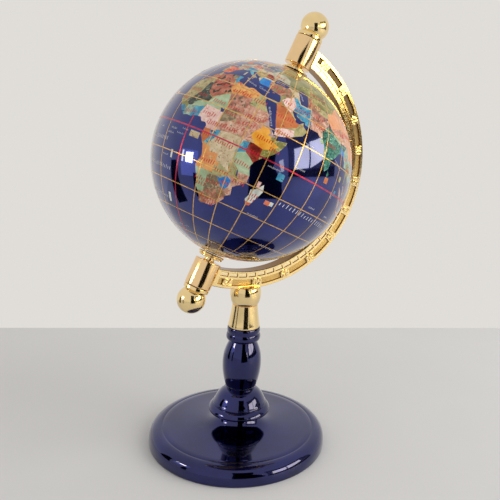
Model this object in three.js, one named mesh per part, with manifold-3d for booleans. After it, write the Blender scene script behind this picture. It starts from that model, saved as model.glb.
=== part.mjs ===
// Desk globe: an inlaid stone ball that turns between the two ends of a numbered half ring,
// on a turned lacquered stem and foot. Millimetres, +Z up, underside of the foot at z = 0,
// stem axis on the Z axis, half ring in the XZ plane with the north pole leaning towards +X.

import * as THREE from 'three';
import { mergeVertices } from 'three/addons/utils/BufferGeometryUtils.js';
import Module from 'manifold-3d';

const wasm = await Module();
wasm.setup();

// Driving dimensions
const GAP = 0.3;
const GLOBE_R = 55;
const GLOBE_Z = 169.2;
const TILT = THREE.MathUtils.degToRad(23.5);
const ARC_INNER_R = 61.8;
const ARC_OUTER_R = 72.1;
const ARC_THICKNESS = 7.7;
const BARREL_R = 7.4;
const BARREL_INNER = 59.8;
const BARREL_OUTER = 75;
const PIN_R = 1.9;
const BALL_R = 7.93;
const BALL_AT = 83.2;
const FLANGE_R = 7.2;
const FLANGE_T = 2.1;
const WASHER_R = 7.45;
const WASHER_STEP_R = 6.9;
const WASHER_STEP_T = 2.3;
const WASHER_NECK_R = 3.2;
const WASHER_RIM_T = 1;
const FERRULE_BOTTOM_Z = 73.3;
const FERRULE_TOP_Z = 98.3;
const FERRULE_CUP_R = 8.9;
const FERRULE_WAIST_R = 7.35;
const FERRULE_WAIST_Z = 86.8;
const FERRULE_FOOT_R = 9.2;
const RING_R = 10.05;
const BALUSTER_R = 11.45;
const COLLAR_R = 18.25;
const COLLAR_Z = 19.7;
const FOOT_R = 52.9;
const FOOT_RIM_Z = 10;
const BOSS_R = 12.6;
const BOSS_Z = 18.2;

// Scale on the half ring: five number pads on each side of its middle one, a little over 15
// degrees apart, with a sunk panel between each two and beyond the last. A shallow groove for
// the tick marks runs along the inner edge of the front face
const NUMBER_STEP = 15.6;
const NUMBERS_EACH_SIDE = 5;
const NUMBER_PAD = 2.4;
const SCALE_END = 83;
const PANEL_INNER_R = 66.5;
const PANEL_OUTER_R = 70.3;
const PANEL_DEPTH = 0.9;
const GROOVE_INNER_R = 62.7;
const GROOVE_OUTER_R = 65.2;
const GROOVE_DEPTH = 0.5;
const CHORD_STEP = 5;

const gold = { color: 0xd0a458, roughness: 0.16, metalness: 1 };
const lacquer = { color: 0x22244a, roughness: 0.1, metalness: 0 };
const stone = { color: 0x37357a, roughness: 0.12, metalness: 0 };

const deg = THREE.MathUtils.degToRad;

function toManifold(geometry) {
  const bare = geometry.clone();
  bare.deleteAttribute('normal');
  bare.deleteAttribute('uv');
  const merged = mergeVertices(bare, 1e-4);
  const index = merged.index.array;
  const kept = [];
  for (let i = 0; i < index.length; i += 3) {
    const [a, b, c] = index.slice(i, i + 3);
    if (a !== b && b !== c && c !== a) {
      kept.push(a, b, c);
    }
  }
  const mesh = new wasm.Mesh({
    numProp: 3,
    vertProperties: new Float32Array(merged.attributes.position.array),
    triVerts: new Uint32Array(kept),
  });
  return new wasm.Manifold(mesh);
}

function toGeometry(solid) {
  const mesh = solid.getMesh();
  const geometry = new THREE.BufferGeometry();
  geometry.setAttribute('position', new THREE.BufferAttribute(new Float32Array(mesh.vertProperties), 3));
  geometry.setIndex(new THREE.BufferAttribute(new Uint32Array(mesh.triVerts), 1));
  geometry.computeVertexNormals();
  return geometry;
}

// A turned solid: the outline runs from the axis at the bottom to the axis at the top
function turned(path, divisions, segments) {
  const geometry = new THREE.LatheGeometry(path.getPoints(divisions), segments);
  geometry.rotateX(Math.PI / 2);
  return toGeometry(toManifold(geometry));
}

function rod(radius, from, to, segments) {
  const geometry = new THREE.CylinderGeometry(radius, radius, to - from, segments);
  geometry.rotateX(Math.PI / 2);
  geometry.translate(0, 0, (from + to) / 2);
  return toManifold(geometry);
}

// A flat piece of ring in the XZ plane, between two radii and two latitudes in degrees,
// with its thickness along Y from `near` to `far`
function ringPiece(innerR, outerR, fromLat, toLat, near, far, bevel = 0) {
  const shape = new THREE.Shape();
  shape.absarc(0, 0, outerR - bevel, deg(fromLat), deg(toLat), false);
  shape.absarc(0, 0, innerR + bevel, deg(toLat), deg(fromLat), true);
  const span = (toLat - fromLat) / CHORD_STEP;
  const geometry = new THREE.ExtrudeGeometry(shape, {
    depth: far - near - 2 * bevel,
    curveSegments: Math.max(1, Math.round(span)),
    bevelEnabled: bevel > 0,
    bevelThickness: bevel,
    bevelSize: bevel,
    bevelSegments: 1,
  });
  geometry.translate(0, 0, near + bevel);
  geometry.rotateX(Math.PI / 2);
  return toManifold(geometry);
}

function footGeometry() {
  const path = new THREE.Path();
  path.moveTo(0, 0);
  path.lineTo(FOOT_R - 0.9, 0);
  path.quadraticCurveTo(FOOT_R - 0.1, 0, FOOT_R - 0.05, 0.9);
  path.bezierCurveTo(FOOT_R, 4.6, FOOT_R - 0.6, 7.6, FOOT_R - 4, FOOT_RIM_Z - 1.25);
  path.lineTo(FOOT_R - 4.3, FOOT_RIM_Z - 0.8);
  path.quadraticCurveTo(FOOT_R - 4.7, FOOT_RIM_Z, FOOT_R - 5.9, FOOT_RIM_Z);
  path.quadraticCurveTo(FOOT_R - 7.1, FOOT_RIM_Z, FOOT_R - 7.5, FOOT_RIM_Z - 0.4);
  path.lineTo(FOOT_R - 7.9, FOOT_RIM_Z + 0.1);
  path.bezierCurveTo(30, 11.7, 19.5, 13.4, BOSS_R, BOSS_Z);
  path.lineTo(0, BOSS_Z);
  return turned(path, 4, 48);
}

function stemGeometry() {
  const top = FERRULE_BOTTOM_Z - GAP;
  const neckR = 8.2;
  const neckZ = 64.4;
  const ankleR = 8.4;
  const ankleZ = 33.7;
  const path = new THREE.Path();
  path.moveTo(0, BOSS_Z + GAP);
  path.lineTo(BOSS_R, BOSS_Z + GAP);
  path.lineTo(BOSS_R, COLLAR_Z);
  path.lineTo(COLLAR_R - 1, COLLAR_Z);
  path.quadraticCurveTo(COLLAR_R + 0.2, COLLAR_Z + 0.1, COLLAR_R, COLLAR_Z + 1.6);
  path.quadraticCurveTo(COLLAR_R - 0.7, COLLAR_Z + 3.4, COLLAR_R - 2.6, COLLAR_Z + 4.3);
  path.quadraticCurveTo(COLLAR_R - 2, COLLAR_Z + 5.3, COLLAR_R - 2.9, COLLAR_Z + 6.1);
  path.bezierCurveTo(14.2, 28.6, 12.6, 32.4, ankleR, ankleZ);
  path.bezierCurveTo(10.2, 39, BALUSTER_R, 44, BALUSTER_R, 50);
  path.bezierCurveTo(BALUSTER_R, 56, 10.2, 60, neckR - 0.3, neckZ);
  path.quadraticCurveTo(RING_R + 0.2, neckZ + 0.6, RING_R, neckZ + 3.2);
  path.quadraticCurveTo(RING_R - 0.1, neckZ + 4.6, RING_R - 0.6, neckZ + 5.2);
  path.quadraticCurveTo(RING_R - 0.1, top - 1.2, RING_R - 0.7, top);
  path.lineTo(0, top);
  return turned(path, 4, 28);
}

function ferruleGeometry() {
  const path = new THREE.Path();
  path.moveTo(0, FERRULE_BOTTOM_Z);
  path.lineTo(FERRULE_FOOT_R, FERRULE_BOTTOM_Z);
  path.lineTo(FERRULE_FOOT_R, FERRULE_BOTTOM_Z + 0.9);
  path.quadraticCurveTo(8.3, 78.4, FERRULE_WAIST_R, FERRULE_WAIST_Z);
  path.quadraticCurveTo(FERRULE_CUP_R - 0.3, FERRULE_WAIST_Z + 1.2, FERRULE_CUP_R, FERRULE_WAIST_Z + 4.2);
  path.lineTo(FERRULE_CUP_R, FERRULE_TOP_Z - 0.6);
  path.lineTo(FERRULE_CUP_R - 0.6, FERRULE_TOP_Z);
  path.lineTo(0, FERRULE_TOP_Z);
  const half = ARC_THICKNESS / 2 + GAP;
  const seat = ringPiece(ARC_INNER_R - GAP, ARC_OUTER_R + GAP, -90, 0, -half, half);
  const placed = toGeometry(seat);
  placed.rotateY(TILT);
  placed.translate(0, 0, GLOBE_Z);
  return toGeometry(toManifold(turned(path, 4, 28)).subtract(toManifold(placed)));
}

// The half ring, cast in one with a bored barrel at each pole
function arcGeometry() {
  const half = ARC_THICKNESS / 2;
  let solid = ringPiece(ARC_INNER_R, ARC_OUTER_R, -88, 88, -half, half, 0.4);
  for (const end of [-1, 1]) {
    const [low, high] = end > 0 ? [BARREL_INNER, BARREL_OUTER] : [-BARREL_OUTER, -BARREL_INNER];
    solid = solid.add(rod(BARREL_R, low, high, 28));
    solid = solid.subtract(rod(PIN_R + GAP, low - 1, high + 1, 16));
  }
  for (let number = -NUMBERS_EACH_SIDE - 1; number <= NUMBERS_EACH_SIDE; number++) {
    const from = Math.max(number * NUMBER_STEP + NUMBER_PAD, -SCALE_END);
    const to = Math.min((number + 1) * NUMBER_STEP - NUMBER_PAD, SCALE_END);
    const panel = [PANEL_INNER_R, PANEL_OUTER_R, from, to];
    solid = solid.subtract(ringPiece(...panel, half - PANEL_DEPTH, half + 1));
    solid = solid.subtract(ringPiece(...panel, -half - 1, PANEL_DEPTH - half));
  }
  const groove = [GROOVE_INNER_R, GROOVE_OUTER_R, -SCALE_END, SCALE_END];
  solid = solid.subtract(ringPiece(...groove, half - GROOVE_DEPTH, half + 1));
  return toGeometry(solid);
}

function globeGeometry() {
  const geometry = new THREE.SphereGeometry(GLOBE_R, 48, 24);
  geometry.rotateX(Math.PI / 2);
  return toGeometry(toManifold(geometry));
}

// A stepped washer against the ball, with a hub that takes the tip of the pivot pin
function washerGeometry() {
  const seat = GLOBE_R + GAP;
  const hubEnd = BARREL_INNER - GAP;
  const path = new THREE.Path();
  path.moveTo(0, seat);
  path.lineTo(WASHER_R - 0.5, seat);
  path.lineTo(WASHER_R, seat + 0.3);
  path.lineTo(WASHER_R, seat + WASHER_RIM_T);
  path.lineTo(WASHER_STEP_R, seat + WASHER_RIM_T + 0.3);
  path.lineTo(WASHER_STEP_R, seat + WASHER_STEP_T);
  path.lineTo(WASHER_NECK_R, seat + WASHER_STEP_T + 0.6);
  path.lineTo(WASHER_NECK_R, hubEnd);
  path.lineTo(0, hubEnd);
  const socket = rod(PIN_R + GAP, seat + 0.8, hubEnd + 1, 16);
  return toGeometry(toManifold(turned(path, 3, 20)).subtract(socket));
}

// A ball on a short flange, with the pivot pin that runs through the barrel into the washer
function finialGeometry() {
  const flangeAt = BARREL_OUTER + GAP;
  const flangeEnd = flangeAt + FLANGE_T;
  const start = Math.asin((flangeEnd - BALL_AT) / BALL_R);
  const path = new THREE.Path();
  path.moveTo(0, GLOBE_R + 1.4);
  path.lineTo(PIN_R, GLOBE_R + 1.4);
  path.lineTo(PIN_R, flangeAt);
  path.lineTo(FLANGE_R, flangeAt);
  path.lineTo(FLANGE_R, flangeEnd - 0.3);
  path.lineTo(FLANGE_R - 0.3, flangeEnd);
  path.absarc(0, BALL_AT, BALL_R, start, Math.PI / 2, false);
  return turned(path, 8, 20);
}

function piece(name, geometry, look) {
  const mesh = new THREE.Mesh(geometry, new THREE.MeshStandardMaterial(look));
  mesh.name = name;
  return mesh;
}

const desk_globe = new THREE.Group();
desk_globe.add(piece('base', footGeometry(), lacquer));
desk_globe.add(piece('stem', stemGeometry(), lacquer));
desk_globe.add(piece('ferrule', ferruleGeometry(), gold));

const tilted = new THREE.Group();
tilted.position.set(0, 0, GLOBE_Z);
tilted.rotation.y = TILT;
desk_globe.add(tilted);
tilted.add(piece('meridian_arc', arcGeometry(), gold));
tilted.add(piece('globe', globeGeometry(), stone));

for (const [pole, turn] of [['north', 0], ['south', Math.PI]]) {
  const washer = piece(`washer_${pole}`, washerGeometry(), gold);
  const finial = piece(`finial_${pole}`, finialGeometry(), gold);
  for (const mesh of [washer, finial]) {
    mesh.rotation.x = turn;
    tilted.add(mesh);
  }
}

export default desk_globe;
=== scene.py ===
"""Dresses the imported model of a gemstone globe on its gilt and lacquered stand.

Lengths are in millimetres up to where MM turns them into metres, and angles are in degrees. All is in the
frame's axes: the stem's axis is z, and the globe's axis leans from it towards +x.
"""
import math
import random

import bmesh
import bpy
import numpy as np
from mathutils import Matrix, Vector
from mathutils.geometry import delaunay_2d_cdt


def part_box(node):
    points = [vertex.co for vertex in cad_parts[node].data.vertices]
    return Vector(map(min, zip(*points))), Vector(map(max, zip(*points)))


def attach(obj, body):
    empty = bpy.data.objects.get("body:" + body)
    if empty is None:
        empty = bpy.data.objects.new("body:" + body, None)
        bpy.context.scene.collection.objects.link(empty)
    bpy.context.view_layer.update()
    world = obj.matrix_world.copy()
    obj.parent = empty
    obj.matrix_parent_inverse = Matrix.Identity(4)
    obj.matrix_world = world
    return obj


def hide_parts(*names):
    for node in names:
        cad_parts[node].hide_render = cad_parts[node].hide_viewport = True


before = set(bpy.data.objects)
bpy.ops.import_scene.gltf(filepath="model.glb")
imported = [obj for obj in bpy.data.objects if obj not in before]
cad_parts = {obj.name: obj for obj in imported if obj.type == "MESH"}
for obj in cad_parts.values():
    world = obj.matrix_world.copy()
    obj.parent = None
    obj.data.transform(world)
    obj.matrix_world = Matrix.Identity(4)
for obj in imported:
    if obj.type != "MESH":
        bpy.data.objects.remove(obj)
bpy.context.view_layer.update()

MM = 0.001
TINY = 1e-6
SIDES = 144

# Driving sizes of the object
GLOBE_RADIUS = 55 * MM
TILT = math.radians(23.5)
ARC_THICKNESS = 7.7
ARC_INNER = 61.8
ARC_OUTER = 72.1
ARC_END_LATITUDE = 88
FOOT_RADIUS = 52.9
COLLAR_RADIUS = 18.25

# The globe's place, from the frame
globe_low, globe_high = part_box("globe")
GLOBE_CENTRE = Vector([(low + high) / 2 for low, high in zip(globe_low, globe_high)])
MAP_TURN = math.radians(-156.28)
TO_FRAME = Matrix.Translation(GLOBE_CENTRE) @ Matrix.Rotation(TILT, 4, "Y")


# Helpers for meshes

def link(thing):
    bpy.context.scene.collection.objects.link(thing)


def mesh_of(maker, name, outwards=True):
    """The maker's faces as a mesh, turned outwards unless they face the right way already."""
    if outwards:
        bmesh.ops.recalc_face_normals(maker, faces=maker.faces)
    mesh = bpy.data.meshes.new(name)
    maker.to_mesh(mesh)
    maker.free()
    return mesh


def keep(mesh, name, body, slot, finishes, *replaced, crease=35):
    """Puts a mesh in the scene as a piece that rides a body, shaded smooth between its sharp edges."""
    piece = bpy.data.objects.new(name, mesh)
    link(piece)
    for finish in finishes:
        mesh.materials.append(finish)
    mesh.polygons.foreach_set("use_smooth", [True] * len(mesh.polygons))
    if crease:
        mesh.set_sharp_from_angle(angle=math.radians(crease))
    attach(piece, body)
    if replaced:
        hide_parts(*replaced)
    return piece


def outline(start, *moves, steps=10):
    """A profile's points. Each move is a corner, or the control points of a curve that ends at its last."""
    points = [Vector(start)]
    for move in moves:
        control = [points[-1]] + [Vector(p) for p in move]
        if len(control) == 2:
            points.append(control[1])
            continue
        for step in range(1, steps + 1):
            level = control
            t = step / steps
            while len(level) > 1:
                level = [a.lerp(b, t) for a, b in zip(level, level[1:])]
            points.append(level[0])
    return points


def lathe(name, profile, sides=SIDES):
    """A closed solid turned about z from a profile of (radius, height) points."""
    maker = bmesh.new()
    rings = []
    for radius, height in profile:
        ring = []
        for side in range(sides if radius > TINY else 1):
            angle = 2 * math.pi * side / sides
            x = radius * math.cos(angle) * MM
            y = radius * math.sin(angle) * MM
            ring.append(maker.verts.new((x, y, height * MM)))
        rings.append(ring)
    for lower, upper in zip(rings, rings[1:]):
        for side in range(sides):
            after = (side + 1) % sides
            corners = [lower[side % len(lower)], lower[after % len(lower)]]
            corners += [upper[after % len(upper)], upper[side % len(upper)]]
            corners = list(dict.fromkeys(corners))
            if len(corners) > 2:
                maker.faces.new(corners)
    return mesh_of(maker, name)


def join_rings(maker, a, b):
    """Faces between two rings that have as many corners."""
    for i in range(len(a)):
        j = (i + 1) % len(a)
        maker.faces.new([a[i], a[j], b[j], b[i]])


# Materials

def linear(colour):
    """A colour given as 0 to 255 a channel, as linear light."""
    channels = [c / 255 for c in colour]
    light = [c / 12.92 if c <= 0.04045 else ((c + 0.055) / 1.055) ** 2.4 for c in channels]
    return (*light, 1)


class Finish:
    """A material in the making: patterns over the object's own place, led to its shader's sockets."""

    def __init__(self, name):
        self.material = bpy.data.materials.new(name)
        self.material.use_nodes = True
        self.tree = self.material.node_tree
        self.place = self.add("ShaderNodeTexCoord").outputs["Object"]

    def fill(self, node, values):
        """Links or sets the node's sockets, by their names or numbers."""
        for key, value in values.items():
            if isinstance(value, bpy.types.NodeSocket):
                self.tree.links.new(value, node.inputs[key])
            else:
                node.inputs[key].default_value = value

    def add(self, kind, values=None, **settings):
        node = self.tree.nodes.new(kind)
        for key, value in settings.items():
            setattr(node, key, value)
        self.fill(node, values or {})
        return node

    def noise(self, scale, detail, warp=0.0, cut=None):
        """Mottling of so many blots a metre. cut: a number that gives one stone a mottling of its own."""
        values = {"Vector": self.place, "Scale": scale, "Detail": detail, "Distortion": warp}
        if cut is None:
            return self.add("ShaderNodeTexNoise", values).outputs["Fac"]
        values["W"] = cut
        return self.add("ShaderNodeTexNoise", values, noise_dimensions="4D").outputs["Fac"]

    def ramp(self, factor, stops):
        """A blend over stops of (place, colour)."""
        node = self.add("ShaderNodeValToRGB", {"Fac": factor})
        elements = node.color_ramp.elements
        for index, (place, colour) in enumerate(stops):
            element = elements[index] if index < 2 else elements.new(place)
            element.position = place
            element.color = linear(colour)
        return node.outputs["Color"]

    def worn(self, factor, tone, share, low, high):
        """A tone that falls to that share of itself where the factor is low."""
        return self.ramp(factor, [(low, tuple(round(c * share) for c in tone)), (high, tone)])

    def rescale(self, value, source=(0, 1), target=(0, 1)):
        limits = {"From Min": source[0], "From Max": source[1], "To Min": target[0], "To Max": target[1]}
        return self.add("ShaderNodeMapRange", {"Value": value, **limits}).outputs["Result"]

    def mix(self, factor, a, b, blend="MIX"):
        node = self.add("ShaderNodeMix", data_type="RGBA", blend_type=blend)
        self.fill(node, {0: factor, 6: a, 7: b})
        return node.outputs[2]

    def bump(self, height, strength, distance):
        values = {"Height": height, "Strength": strength, "Distance": distance}
        return self.add("ShaderNodeBump", values).outputs["Normal"]

    def done(self, values):
        """The material, with these values on its shader."""
        self.fill(self.tree.nodes["Principled BSDF"], values)
        return self.material


CLEAR_COAT = {"Coat Weight": 1.0, "Coat Roughness": 0.01}


def lacquer(name):
    """Navy lacquer over bright metal: a blue gleam under a clear gloss, black where it mirrors the dark."""
    finish = Finish(name)
    return finish.done({
        "Base Color": finish.ramp(finish.noise(60, 3), [(0.35, (22, 27, 84)), (0.7, (32, 37, 104))]),
        "Roughness": finish.rescale(finish.noise(260, 2), target=(0.06, 0.12)),
        "Normal": finish.bump(finish.noise(130, 1), 0.04, 0.2 * MM),
        "Metallic": 1.0, "Coat Weight": 0.85, "Coat Roughness": 0.03,
    })


def gold(name, tone=(255, 227, 168), roughness=(0.07, 0.16), ripple_scale=90, painted_top_shade=None):
    """Gold plating over cast or turned metal: pale, bright, with a faint ripple and haze.

    painted_top_shade: painted shade, a darker tone for the upper part against the window's bright reflection
    there, and the heights in metres between which it comes in.
    """
    finish = Finish(name)
    haze = finish.noise(220, 4)
    colour = finish.worn(haze, tone, 0.97, 0.3, 0.62)
    # Painted shade: the colour darkens to the shade tone with height, on the upper part.
    if painted_top_shade:
        top_shade_tone, *heights = painted_top_shade
        height = finish.add("ShaderNodeSeparateXYZ", {"Vector": finish.place}).outputs["Z"]
        colour = finish.mix(finish.rescale(height, heights), colour, linear(top_shade_tone))
    return finish.done({
        "Base Color": colour, "Metallic": 1.0,
        "Roughness": finish.rescale(haze, target=roughness),
        "Normal": finish.bump(finish.noise(ripple_scale, 2), 0.16, 0.3 * MM),
    })


MOTTLE_ENDS = (0.32, 0.68)
SPECK_SPREAD = 0.4
SPECK_EDGE = 0.03
VEIN_STRETCH = 2.5
VEIN_REACH = 0.03
GRAINS = 1300


def stone(name, stops, size=4.0, detail=5, warp=0.6, specks=None, veins=None, dark=0.2, mirror=0.0):
    """A polished semi-precious stone under clear lacquer.

    stops: the stone's colours along its mottling. size: the mottling's width.
    specks and veins: (colour, width, share) of spots and of thin crooked lines.
    dark: the strength of the fine grain. mirror: how far it is a tinted mirror, as blue glass over foil is.
    """
    finish = Finish("stone_" + name)
    cut = finish.add("ShaderNodeAttribute", attribute_name="cut").outputs["Fac"]
    first, last = MOTTLE_ENDS
    spread = [(first + (last - first) * i / (len(stops) - 1), colour) for i, colour in enumerate(stops)]
    colour = finish.ramp(finish.noise(1 / (size * MM), detail, warp, cut), spread)
    if specks:
        tone, width, share = specks
        edge = 0.5 + (0.5 - share) * SPECK_SPREAD
        spots = finish.noise(1 / (width * MM), 3, 0.4, cut)
        colour = finish.mix(finish.rescale(spots, (edge, edge + SPECK_EDGE)), colour, linear(tone))
    if veins:
        tone, width, share = veins
        crooked = finish.noise(1 / (width * VEIN_STRETCH * MM), 4, 1.2, cut)
        off = finish.add("ShaderNodeMath", {0: crooked, 1: 0.5}, operation="SUBTRACT").outputs[0]
        near = finish.add("ShaderNodeMath", {0: off}, operation="ABSOLUTE").outputs[0]
        colour = finish.mix(finish.rescale(near, (VEIN_REACH * share, 0)), colour, linear(tone))
    shade = finish.rescale(finish.noise(GRAINS, 3), target=(1 - dark, 1 + dark))
    return finish.done({
        "Base Color": finish.mix(1.0, colour, shade, "MULTIPLY"),
        "Metallic": mirror, "Roughness": 0.08 if mirror else 0.45, "Specular IOR Level": 0.0, **CLEAR_COAT,
    })


def inlay_wire(name, tone):
    """Metal wire let in between the stones, under the same clear lacquer."""
    finish = Finish(name)
    colour = finish.worn(finish.noise(500, 3), tone, 0.8, 0.35, 0.6)
    return finish.done({"Base Color": colour, "Metallic": 0.6, "Roughness": 0.38, **CLEAR_COAT})


def ink(name, tone):
    """Printed strokes under the lacquer, a little uneven."""
    finish = Finish(name)
    colour = finish.worn(finish.noise(1500, 2), tone, 0.82, 0.3, 0.6)
    return finish.done({"Base Color": colour, "Roughness": 0.5, "Specular IOR Level": 0.0, **CLEAR_COAT})


# The stones: red, green and blue of each colour along the mottling, then what else differs
STONES = {
    "sea": ("26 38 110,32 44 120,40 52 130", dict(size=12, detail=3, mirror=0.96, dark=0.03)),
    "khaki": ("204 188 132,178 172 120,146 148 100",
        dict(size=2.6, veins=((186, 92, 52), 3, 0.5), specks=((120, 112, 70), 1.2, 0.24))),
    "algeria": ("206 134 108,178 98 76,142 76 58", dict(size=2.6, specks=((44, 46, 34), 2.4, 0.4))),
    "snowflake": ("86 98 84,50 58 50,26 32 30", dict(size=2.6, specks=((150, 156, 122), 1.6, 0.24))),
    "streaked": ("206 188 140,188 160 112,170 120 84", dict(veins=((168, 78, 56), 3, 0.9))),
    "orange": ("250 190 84,240 166 60,226 140 48", dict(size=6)),
    "sand": ("242 190 112,230 160 86,208 132 76", dict(size=3, specks=((204, 98, 62), 1.4, 0.28))),
    "turquoise": ("112 192 210,70 156 190,46 122 164", dict(size=2.6, specks=((30, 74, 112), 1.4, 0.24))),
    "bright_blue": ("50 152 214,28 124 206,18 100 196", dict(size=4)),
    "sea_green": ("194 212 176,168 194 156,146 174 134", dict(size=5, specks=((196, 186, 146), 1.4, 0.2))),
    "pale_pink": ("248 226 216,240 206 196,226 178 164", dict(veins=((206, 96, 80), 2.5, 0.6))),
    "rust_pink": ("214 172 150,190 130 108,150 92 78", dict(size=2.6, specks=((104, 92, 72), 1.4, 0.36))),
    "mottled_pink": ("234 200 174,212 162 140,176 124 100",
        dict(size=2.4, veins=((184, 84, 66), 2.5, 0.8), specks=((140, 132, 104), 1.3, 0.26))),
    "saddle": ("222 140 86,204 116 62,182 96 50", dict(size=8, specks=((150, 78, 44), 2, 0.2))),
    "dark_red": ("176 74 56,148 50 40,112 36 32", dict(veins=((84, 30, 26), 2.5, 1.0))),
    "olive": ("158 152 86,130 128 66,98 98 50", dict(veins=((196, 186, 120), 4, 0.6))),
    "beige_speckled": ("232 214 180,212 192 156,192 170 130", dict(specks=((160, 122, 86), 1.0, 0.26))),
    "peach": ("244 182 112,234 158 92,224 140 84", dict(size=5, specks=((206, 196, 140), 2.5, 0.2))),
    "grey_brown": ("166 150 116,132 116 86,100 88 66", dict(size=2, specks=((190, 160, 128), 1.2, 0.34))),
    "red_mottled": ("216 170 136,176 108 84,126 84 60", dict(size=2, specks=((132, 132, 92), 1.2, 0.38))),
    "orange_red": ("236 140 98,222 106 70,200 84 58", dict(specks=((244, 200, 168), 1.6, 0.25))),
    "pale_white": ("240 243 236,222 228 220,192 200 192", dict(size=3)),
    "salmon": ("240 178 130,228 156 108,212 136 90", dict(size=7, specks=((202, 110, 78), 1.6, 0.14))),
    "ash": ("206 202 178,182 176 150,156 150 130", dict(size=3, specks=((196, 124, 98), 1.4, 0.24))),
    "slate": ("158 170 172,122 136 144,94 104 114", dict(size=3, specks=((182, 160, 132), 1.6, 0.3))),
    "paua": ("70 132 110,46 104 84,96 164 140,34 66 96",
        dict(size=2.4, warp=2.5, specks=((150, 206, 186), 1.4, 0.24), veins=((30, 44, 50), 2, 0.8))),
    "pale_green": ("184 204 184,152 182 164,120 152 146", dict(size=3, specks=((204, 176, 156), 1.4, 0.24))),
    "moss": ("170 162 108,148 144 96,122 122 80", dict(size=8, specks=((84, 94, 62), 2.6, 0.2))),
    "grey_pink": ("200 176 170,174 150 146,150 128 126", dict(size=4)),
    "deep_blue": ("34 38 104,42 48 118,52 58 134", dict(size=6, mirror=0.92, dark=0.05)),
}

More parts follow.
